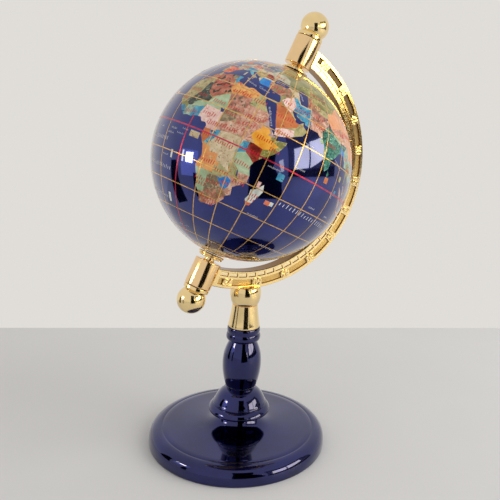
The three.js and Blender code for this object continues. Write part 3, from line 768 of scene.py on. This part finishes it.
# Names on land: longitude and latitude of the middle, length in degrees of longitude
LAND_NAMES = """
2.6 28 9,17.5 27 11,29.4 26 8,-3 18 7,-11.5 20 9,9.4 17.2 8,18.6 17 7,18.8 13.4 6,30 16 9,29.6 12 7,
40 8.6 9,46.6 5.4 6,37.8 0.2 5,35 -7 9,22.6 -1.6 10,20.8 6.2 9,8 9.6 8,12.4 5.6 7,17.4 -12.4 9,
26.6 -14.6 8,17 -22 8,17.4 -24.6 6,23.8 -21.6 7,29.8 -19.4 5,36.8 -16.4 7,24 -30.6 11,24.4 -33 7,
46.8 -19 5,-1 8 4,-5.6 7.4 5,-14.4 14 5,-6.6 31.6 7,11.4 -0.6 5,45 23.8 11,47.4 15.2 8,43.4 33 6,54 32.4 9,
34.6 39 10,66 48.6 16,100 35 16,78.6 22.6 8,68 29 8,66 34 8,96 60 30,63 40.6 10,-4 40 6,2.6 46.6 7,
10.4 51 6,19.4 52.2 6,31.6 49 8,25 46 6,103 46.6 12,87 33 12,96 21 4,102 16 6,-100 56 26,-98 40 24,
-103 24 9,-54 -10 16,-65 -36 7,-64 -16 6,-75 -8 7,-72 4 8,-42 72 18,134 -24 20,147 -25 9,-152 65 12,
0 -76 40,120 -74 40,141 -5 8,114 0 6,46.6 -21.4 4,121 63 24,40 57 18
"""

# Names at sea: longitude and latitude of the start and of the end, height and pitch of the strokes
SEA_NAMES = """
60.4 -18 103 -19.4 2.3 2.1,-30 -11 -12 -10.6 1.9 1.5,-29 -24.4 -5 -24.8 1.9 1.5,-34 -39.6 -7 -41 1.9 1.5,
-150 14 -118 14 2.3 1.5,-128 -20 -98 -20 2.3 1.5,-60 34 -30 34 1.9 1.5,150 14 176 14 2.3 1.5,
70 -46 98 -46 1.6 1.4,14 35.8 22 34 0.9 0.6,24 34 31 33.4 0.9 0.6,34.6 25.6 40 16 1.2 0.8,
46.6 -2.8 54 -2.8 0.9 0.6,-14 -6.6 -8.6 -6.6 0.9 0.6,-12 -4 -7.4 -4 0.9 0.6,-25 -4.6 -20 -4.6 0.9 0.6,
-14.4 -18 -8.6 -18 0.8 0.6,-6.4 -5.4 -1 -5.4 0.8 0.6,-3.4 -2.6 1 -2.6 0.8 0.6,59.6 2.6 66 2.6 0.9 0.6,
78.4 -12.4 83.4 -12.4 0.9 0.6,95 -13 99.4 -13 0.9 0.6,88.6 0.4 91.4 -3 0.9 0.7,60 16.4 67 16.4 0.9 0.7,
-5 -56.4 0.6 -56.4 0.8 0.6,3 -56 8 -56 0.8 0.6,48 -29.6 55 -29.6 0.8 0.6,84 16.6 91 13 0.9 0.7,
31 43.4 38 43.4 0.8 0.6,49.4 43.6 52.6 39 0.8 0.6,-94 25 -86 25 0.9 0.7,-78 15.4 -68 15.4 0.9 0.7,
112 14 117 14 0.9 0.7,155 -34 163 -34 0.9 0.7,-176 56 -168 56 0.9 0.7,2 56.6 6 56.6 0.7 0.6
"""


def build_globe():
    finishes = [stone(name, parse(stops), **facts) for name, (stops, facts) in STONES.items()]
    ball = keep(globe_mesh(), "globe_stones", "ball", "inlaid_stone", finishes, "globe", crease=None)
    round_normals(ball.data)
    brass = inlay_wire("inlay_brass", (240, 188, 104))
    crimson = inlay_wire("inlay_crimson", (206, 30, 78))
    parallels = [y for y in range(WIRE_STEP - 90, 90, WIRE_STEP) if y]
    meridians = [x for x in range(WIRE_STEP - 180, 181, WIRE_STEP) if x]
    wires("graticule_wires", parallels, meridians, WIRE_WIDTH, brass)
    wires("equator_and_prime_meridian", [0], [0], EQUATOR_WIDTH, crimson, RED_MERIDIAN_END)
    land = [(x - w / 2, y - 1, x + w / 2, y - 1, *LAND_STROKES) for x, y, w in parse(LAND_NAMES)]
    stroke_rows("land_name_strokes", land, ink("red_ink", (214, 52, 40)), seed=3)
    stroke_rows("sea_name_strokes", parse(SEA_NAMES), ink("white_ink", (232, 232, 238)), seed=5)


# The stand

FOOT_SIDES = 192
SEAT_RADIUS = 12.6
FOOT_TOP = 18.2
STEM_FOOT = 18.5
STEM_TOP = 73
FERRULE_FOOT = 73.3
FERRULE_TOP = 98.9


def foot_profile():
    """The turned foot: a rounded shoulder, a faint crease, and a low concave cone up to the collar."""
    rim = FOOT_RADIUS
    return outline(
        (0, 0), [(rim - 0.9, 0)], [(rim - 0.1, 0), (rim - 0.05, 0.9)],
        [(rim, 4.8), (rim - 0.7, 8.2), (rim - 4.2, 9.3)], [(rim - 5.4, 9.8), (rim - 6.8, 9.9)],
        [(rim - 7.3, 9.93), (rim - 7.6, 9.82)], [(rim - 8, 9.86), (rim - 8.6, 10.1)],
        [(36, 10.4), (27, 10.9), (20.5, 11.9)], [(16, 12.8), (13.2, 14.8), (SEAT_RADIUS, FOOT_TOP)],
        [(0, FOOT_TOP)],
    )


def stem_profile():
    """The turned stem: a collar over the foot, a bell up to a neck, a baluster and two small rings."""
    collar = COLLAR_RADIUS
    return outline(
        (0, STEM_FOOT), [(SEAT_RADIUS, STEM_FOOT)], [(SEAT_RADIUS, 19.7)], [(collar - 1, 19.7)],
        [(collar + 0.2, 19.8), (collar, 21.3)], [(collar - 0.7, 23.1), (collar - 2.6, 24)],
        [(collar - 2, 25), (collar - 2.9, 25.8)], [(14.2, 28.6), (12.6, 32.4), (8.4, 33.7)],
        [(10.2, 39), (11.45, 44), (11.45, 50)], [(11.45, 56), (10.2, 60), (7.9, 64.4)],
        [(10.25, 65), (10.05, 67.6)], [(9.95, 69), (9.45, 69.6)], [(9.95, 71.8), (9.35, STEM_TOP)],
        [(0, STEM_TOP)],
    )


def ferrule_profile():
    """The gilt cup that carries the arc: a cone, an undercut and a bulging cup with a domed top."""
    return outline(
        (0, FERRULE_FOOT), [(9.0, FERRULE_FOOT)], [(9.2, 73.4), (9.2, 73.6)], [(9.2, 74.2)],
        [(8.3, 78.4), (7.35, 86.8)], [(6.9, 86.95)], [(6.9, 87.2)], [(7.4, 87.3)],
        [(8.3, 88.6), (8.75, 90.6), (8.95, 92.6)], [(9, 95), (8.7, 97.2), (7.8, 98.2)],
        [(5, FERRULE_TOP), (0, FERRULE_TOP)],
    )


def build_stand(navy, plating):
    keep(lathe("foot", foot_profile(), FOOT_SIDES), "foot", "stand", "navy_lacquer", [navy], "base")
    keep(lathe("turned_stem", stem_profile()), "turned_stem", "stand", "navy_lacquer", [navy], "stem")
    cup = lathe("cup_ferrule", ferrule_profile())
    keep(cup, "cup_ferrule", "stand", "gold_plate", [plating], "ferrule")


# The meridian arc. Its rows of sunk fields are given by inner radius, outer radius and depth.

NUMBER_STEP = 15.6
NUMBERS_EACH_SIDE = 5
NUMBER_VALUE = 15
NUMBER_HALF_PAD = 2.4
SCALE_END = 83
RUNG_STEP = 5.2
RUNG_HALF_WIDTH = 0.36
GROOVE = (62.7, 65.2, 0.6)
PANEL = (66.5, 70.3, 0.9)
WALL = 0.3
WALL_RADIUS = 66
EDGE_BEVEL = 0.3
PANEL_FLOOR, CELL_FLOOR, INNER_SIDE, SUNK_WALL = 1, 2, 3, 4

# Along the globe's axis: distances from its centre, and radii
SLEEVE_STARTS = {"north": 58.9, "south": 59.6}
SECOND_STEPS = {"north": 5.2, "south": 6.9}
SLEEVE_END = 75
SLEEVE_RADIUS = 7.4
SLEEVE_ROUNDING = 0.5
FINIAL_CENTRE = 83.2
FINIAL_RADIUS = 7.93
FINIAL_NECK = 5.2
FINIAL_STEPS = 48
PIN_RADIUS = 1.9


def arc_point(angle, radius, across):
    """A point of the arc's ring: angle from its middle towards the north end, radius and y."""
    turned = math.radians(angle)
    return TO_FRAME @ Vector((radius * math.cos(turned) * MM, across * MM, radius * math.sin(turned) * MM))


def sunk_row(step, half_pad, ring):
    """Sunk fields between pads at every step: (from angle, to angle, from radius, to radius, depth)."""
    fields = []
    last = math.ceil(SCALE_END / step)
    for number in range(-last, last):
        start = max(number * step + half_pad, -SCALE_END)
        end = min((number + 1) * step - half_pad, SCALE_END)
        if end - start > 2 * half_pad / step:
            fields.append((start, end, *ring))
    return fields


def arc_mesh():
    """The cast arc: a row of long sunk panels on each face, and a ladder of small cells on the front."""
    panels = sunk_row(NUMBER_STEP, NUMBER_HALF_PAD, PANEL)
    ladder = sunk_row(RUNG_STEP, RUNG_HALF_WIDTH, GROOVE)
    radii = {ARC_INNER, ARC_INNER + EDGE_BEVEL, ARC_OUTER - EDGE_BEVEL, ARC_OUTER}
    angles = {float(a) for a in range(-ARC_END_LATITUDE, ARC_END_LATITUDE + 1)}
    slope = math.degrees(WALL / WALL_RADIUS)
    for start, end, low, high, _ in panels + ladder:
        radii |= {low, low + WALL, high - WALL, high}
        angles |= {start, start + slope, end - slope, end}
    radii, angles = sorted(radii), sorted(angles)
    angles = [a for i, a in enumerate(angles) if i == 0 or a - angles[i - 1] > TINY]

    def depth_at(angle, radius, fields):
        if radius in (ARC_INNER, ARC_OUTER):
            return EDGE_BEVEL
        for start, end, low, high, depth in fields:
            along = start + slope - TINY <= angle <= end - slope + TINY
            if along and low + WALL - TINY <= radius <= high - WALL + TINY:
                return depth
        return 0

    def face_row(angle, side, fields):
        """The corners across one face, from the inside out, each with its depth."""
        row = []
        for radius in radii:
            depth = depth_at(angle, radius, fields)
            place = arc_point(angle, radius, side * (ARC_THICKNESS / 2 - depth))
            row.append((maker.verts.new(place), depth))
        return row

    maker = bmesh.new()
    columns = [face_row(a, -1, panels + ladder) + face_row(a, 1, panels)[::-1] for a in angles]
    for a, b in zip(columns, columns[1:]):
        for i in range(len(a)):
            j = (i + 1) % len(a)
            corners = (a[i], a[j], b[j], b[i])
            face = maker.faces.new([corner for corner, _ in corners])
            shallow = min(depth for _, depth in corners)
            deep = max(depth for _, depth in corners)
            if i == len(a) - 1:
                face.material_index = INNER_SIDE
            elif shallow == PANEL[2]:
                face.material_index = PANEL_FLOOR
            elif shallow == GROOVE[2]:
                face.material_index = CELL_FLOOR
            elif deep in (PANEL[2], GROOVE[2]):
                face.material_index = SUNK_WALL
    for column in (columns[0], columns[-1]):
        for i in range(len(radii) - 1):
            j = len(column) - 1 - i
            maker.faces.new([column[k][0] for k in (i, i + 1, j - 1, j)])
    return mesh_of(maker, "meridian_arc")


NUMBER_TYPE = {
    "size": 5.7 * MM, "space_character": 0.95, "offset": 0.1 * MM, "extrude": 0.45 * MM,
    "bevel_depth": 0.16 * MM, "bevel_resolution": 2, "resolution_u": 4,
}


def number_mesh(text):
    """A raised number, upright in x and y about its middle."""
    letters = bpy.data.curves.new("number_" + text, "FONT")
    letters.body = text
    for key, value in NUMBER_TYPE.items():
        setattr(letters, key, value)
    holder = bpy.data.objects.new("number_" + text, letters)
    link(holder)
    bpy.context.view_layer.update()
    solid = holder.evaluated_get(bpy.context.evaluated_depsgraph_get())
    mesh = bpy.data.meshes.new_from_object(solid)
    bpy.data.objects.remove(holder)
    bpy.data.curves.remove(letters)
    places = np.array([v.co for v in mesh.vertices])
    middle = (places.min(axis=0) + places.max(axis=0)) / 2
    mesh.transform(Matrix.Translation(-Vector((middle[0], middle[1], 0))))
    return mesh


def numbers_mesh():
    """The degree numbers, read with their tops outwards, on the pads of the front face."""
    maker = bmesh.new()
    middle_radius = (PANEL[0] + PANEL[1]) / 2
    for number in range(-NUMBERS_EACH_SIDE, NUMBERS_EACH_SIDE + 1):
        mesh = number_mesh(str(abs(number) * NUMBER_VALUE))
        turned = math.radians(number * NUMBER_STEP)
        reading = Vector((math.sin(turned), 0, -math.cos(turned)))
        upward = Vector((math.cos(turned), 0, math.sin(turned)))
        facing = reading.cross(upward)
        turn = Matrix((reading, upward, facing)).transposed().to_4x4()
        place = upward * middle_radius * MM + Vector((0, -ARC_THICKNESS * MM / 2, 0))
        mesh.transform(TO_FRAME @ Matrix.Translation(place) @ turn)
        maker.from_mesh(mesh)
        bpy.data.meshes.remove(mesh)
    bmesh.ops.remove_doubles(maker, verts=maker.verts, dist=TINY)
    return mesh_of(maker, "arc_numbers", outwards=False)


def barrel_profile(low):
    """The round sleeve at each end of the arc, through which the pin runs, from that distance outwards."""
    wide, high = SLEEVE_RADIUS, SLEEVE_END
    edge = wide - SLEEVE_ROUNDING
    return outline(
        (0, low), [(edge, low)], [(wide, low), (wide, low + SLEEVE_ROUNDING)],
        [(wide, high - SLEEVE_ROUNDING)], [(wide, high), (edge, high)], [(0, high)], steps=5,
    )


def finial_profile():
    """A flange and a ball on the pin, in one."""
    points = outline(
        (0, 75.3), [(6.9, 75.3)], [(7.2, 75.35), (7.2, 75.6)], [(7.2, 77.1)], [(7.2, 77.4), (6.9, 77.4)],
        [(FINIAL_NECK, 77.45)], steps=5,
    )
    start = math.asin(FINIAL_NECK / FINIAL_RADIUS)
    for i in range(1, FINIAL_STEPS + 1):
        angle = start + (math.pi - start) * i / FINIAL_STEPS
        height = FINIAL_CENTRE - FINIAL_RADIUS * math.cos(angle)
        points.append(Vector((FINIAL_RADIUS * math.sin(angle), height)))
    points[-1].x = 0
    return points


def washer_profile(low, second):
    """The stepped washer on the ball's pole. low: the barrel's start. second: its upper step's radius."""
    step = min(low - 0.9, 57.6)
    return outline(
        (0, 55.3), [(7.0, 55.3)], [(7.45, 55.35), (7.45, 55.8)], [(7.45, 56.3), (7.0, 56.35)],
        [(second - 0.4, 56.45), (second - 0.4, 56.65)], [(second, 56.7), (second, 57)],
        [(second, step - 0.1), (second - 0.5, step)], [(4, step + 0.1), (2.9, step + 0.3)],
        [(2.9, low - 0.5)], [(3.4, low - 0.4), (3.4, low - 0.2)], [(3.4, low - 0.1), (3.1, low - 0.1)],
        [(2.2, low - 0.1)], [(2.2, 56.1)], [(0, 56.1)], steps=6,
    )


def pin_profile():
    return outline((0, 56.4), [(PIN_RADIUS, 56.4)], [(PIN_RADIUS, 60)], [(0, 60)])


def build_arc(plating, rosy):
    # Painted shade on the upper part of the sunk panels: its darker tone, and the heights in metres between
    # which it comes in.
    painted_top_shade = ((94, 80, 72), 0.13, 0.2)
    finishes = [
        plating,
        gold("gold_sunk_panel", (214, 184, 128), (0.4, 0.55), ripple_scale=240, painted_top_shade=painted_top_shade),
        gold("gold_sunk_cell", (252, 232, 190), (0.08, 0.16), ripple_scale=240),
        # The ring's inner side: the gold in a darker tone, painted shade where it faces the ball.
        gold("gold_inner_side_painted_shade", (140, 102, 54), (0.06, 0.12)),
        # The walls of the sunk fields: the gold in a darker tone, painted shade in the recesses.
        gold("gold_sunk_wall_painted_shade", (172, 128, 72), (0.3, 0.4)),
    ]
    keep(arc_mesh(), "meridian_arc_ring", "stand", "gold_plate", finishes, "meridian_arc", crease=20)
    keep(numbers_mesh(), "arc_numbers", "stand", "gold_plate", [plating], crease=40)
    for side, turn in (("north", 0), ("south", math.pi)):
        low = SLEEVE_STARTS[side]
        washer = washer_profile(low, SECOND_STEPS[side])
        parts = [
            ("sleeve_", barrel_profile(low), SIDES, "stand", rosy, "meridian_arc"),
            ("ball_finial_", finial_profile(), SIDES, "stand", plating, "finial_" + side),
            ("pin_", pin_profile(), 32, "stand", plating, "finial_" + side),
            ("stepped_washer_", washer, 96, "ball", plating, "washer_" + side),
        ]
        for name, profile, sides, body, finish, replaced in parts:
            mesh = lathe(name + side, profile, sides)
            mesh.transform(TO_FRAME @ Matrix.Rotation(turn, 4, "X"))
            keep(mesh, name + side, body, "gold_plate", [finish], replaced)


# The studio. Places on the cards are azimuths from +y towards +x and elevations, from the globe's centre.

CAMERA_PLACE = Vector((-158.44, -319.88, 208.23)) * MM
CAMERA_YAW = math.radians(34.252)
CAMERA_PITCH = math.radians(13.447)
CAMERA_ROLL = math.radians(5.098)
CAMERA_LENS = 45.73
CAMERA_SHIFT = -0.168
TABLE_EDGE = 0.186
TABLE_EDGE_TURN = math.radians(-20.1)
TABLE_REACH = 1.5
TABLE_THICKNESS = 0.02
CARD_CELLS = 8
WALL_COLOUR = (224, 221, 217)
TABLE_COLOUR = (215, 215, 215)
DARK = (5, 5, 7)
PANE = (255, 240, 172)

# Cards seen only in reflections: name, four corners in order, colour, glow and distance in metres
CARDS = [
    ("window_wall_low", "104 -7,168 -7,168 1,104 1", (70, 68, 78), 0, 1.55),
    ("window_wall_high", "104 1,168 1,168 36,104 36", (150, 146, 152), 0, 1.55),
    ("window_near", "162 1,144 2,140 23,160 21", PANE, 7.5, 1.3),
    ("window_far", "142 2,120 9,116 25,138 25", PANE, 7.5, 1.3),
    ("window_slim", "176 -2,173 -1,174 11,179 9", PANE, 5, 1.3),
    ("photographer", "194 -29,210 -29,209 9,185 8", DARK, 0, 0.34),
    ("photographer_arm", "173 -28,194 -29,187 5,177 -10", DARK, 0, 0.338),
    ("photographer_head", "185 8,209 9,212 37,180 36", DARK, 0, 0.34),
    ("chair_post", "284 -33,301 -33,297 -2,289 -1", DARK, 0, 0.3),
    ("chair_back", "262 -30,269 -30,268 -9,262 -9", DARK, 0, 0.34),
    ("curtain", "262 -12,284 -12,284 9,264 10", (196, 204, 226), 1.1, 0.36),
    ("lamp", "269 -1,278 -1,278 7,269 8", PANE, 26, 0.34),
    ("lamp_stem", "281 -1,283 -1,283 8,281 8", PANE, 12, 0.34),
]


def direction(azimuth, elevation):
    flat = math.cos(math.radians(elevation))
    turned = math.radians(azimuth)
    return Vector((flat * math.sin(turned), flat * math.cos(turned), math.sin(math.radians(elevation))))


def plain(name, colour, roughness=0.8, glow=0, texture=0):
    """A dull surface. texture: how much darker its soft clouds are."""
    finish = Finish(name)
    values = {"Roughness": roughness, "Specular IOR Level": 0.12}
    values["Base Color"] = finish.worn(finish.noise(6, 3), colour, 1 - texture, 0.3, 0.7)
    if glow:
        values["Emission Color"] = linear(colour)
        values["Emission Strength"] = glow
    return finish.done(values)


def card(name, corners, colour, glow, distance):
    """A part of a round screen about the globe, seen only in reflections."""
    maker = bmesh.new()
    rows = []
    for i in range(CARD_CELLS + 1):
        column = []
        for j in range(CARD_CELLS + 1):
            u, v = i / CARD_CELLS, j / CARD_CELLS
            weights = ((1 - u) * (1 - v), u * (1 - v), u * v, (1 - u) * v)
            azimuth = sum(w * c[0] for w, c in zip(weights, corners))
            elevation = sum(w * c[1] for w, c in zip(weights, corners))
            column.append(maker.verts.new(GLOBE_CENTRE + direction(azimuth, elevation) * distance))
        rows.append(column)
    for a, b in zip(rows, rows[1:]):
        for j in range(CARD_CELLS):
            maker.faces.new([a[j], b[j], b[j + 1], a[j + 1]])
    mesh = mesh_of(maker, name, outwards=False)
    mesh.materials.append(plain(name + "_face", colour, glow=glow))
    screen = bpy.data.objects.new(name, mesh)
    link(screen)
    screen.visible_camera = False
    screen.visible_shadow = False
    screen.visible_diffuse = False
    return screen


def soft_light(name, azimuth, elevation, distance, size, power):
    """A broad soft light towards the globe, which reflections don't show."""
    lamp = bpy.data.lights.new(name, "AREA")
    lamp.shape = "DISK"
    lamp.size = size
    lamp.energy = power
    holder = bpy.data.objects.new(name, lamp)
    holder.location = GLOBE_CENTRE + direction(azimuth, elevation) * distance
    holder.rotation_euler = (-direction(azimuth, elevation)).to_track_quat("-Z", "Y").to_euler()
    holder.visible_camera = False
    holder.visible_glossy = False
    link(holder)
    return holder


def table_top():
    """The pale table, with its back edge close behind the globe."""
    maker = bmesh.new()
    bmesh.ops.create_cube(maker, size=1)
    sizes = Vector((2 * TABLE_REACH, TABLE_REACH + TABLE_EDGE, TABLE_THICKNESS))
    middle = Vector((0, (TABLE_EDGE - TABLE_REACH) / 2, -TABLE_THICKNESS / 2))
    turn = Matrix.Rotation(TABLE_EDGE_TURN, 4, "Z")
    placed = turn @ Matrix.Translation(middle) @ Matrix.Diagonal((*sizes, 1))
    bmesh.ops.transform(maker, matrix=placed, verts=maker.verts)
    mesh = mesh_of(maker, "table_top", outwards=False)
    mesh.materials.append(plain("table_paint", TABLE_COLOUR, roughness=0.5, texture=0.02))
    table = bpy.data.objects.new("table_top", mesh)
    link(table)
    return table


def build_studio():
    world = bpy.data.worlds.new("pale_room")
    bpy.context.scene.world = world
    world.use_nodes = True
    light = world.node_tree.nodes["Background"]
    light.inputs["Color"].default_value = linear(WALL_COLOUR)
    light.inputs["Strength"].default_value = 1.0
    stage = [table_top(), soft_light("window_light", 130, 28, distance=1.4, size=1.2, power=9)]
    for name, corners, colour, glow, distance in CARDS:
        stage.append(card(name, parse(corners), colour, glow, distance))


def build_camera():
    lens = bpy.data.cameras.new("camera")
    lens.lens = CAMERA_LENS
    lens.sensor_width = 36
    lens.shift_x = CAMERA_SHIFT
    lens.clip_start = 0.01
    sin_yaw, cos_yaw = math.sin(CAMERA_YAW), math.cos(CAMERA_YAW)
    sin_pitch, cos_pitch = math.sin(CAMERA_PITCH), math.cos(CAMERA_PITCH)
    forward = Vector((sin_yaw * cos_pitch, cos_yaw * cos_pitch, -sin_pitch))
    level = Vector((cos_yaw, -sin_yaw, 0))
    upright = level.cross(forward)
    right = level * math.cos(CAMERA_ROLL) + upright * math.sin(CAMERA_ROLL)
    up = upright * math.cos(CAMERA_ROLL) - level * math.sin(CAMERA_ROLL)
    camera = bpy.data.objects.new("camera", lens)
    turn = Matrix((right, up, -forward)).transposed().to_4x4()
    camera.matrix_world = Matrix.Translation(CAMERA_PLACE) @ turn
    link(camera)
    bpy.context.scene.camera = camera


bpy.context.scene.view_settings.view_transform = "Standard"
build_camera()
build_studio()
build_globe()
gilt = gold("gold_plating")
build_stand(lacquer("navy_lacquer_coat"), gilt)
build_arc(gilt, gold("gold_sleeve", (255, 218, 164)))
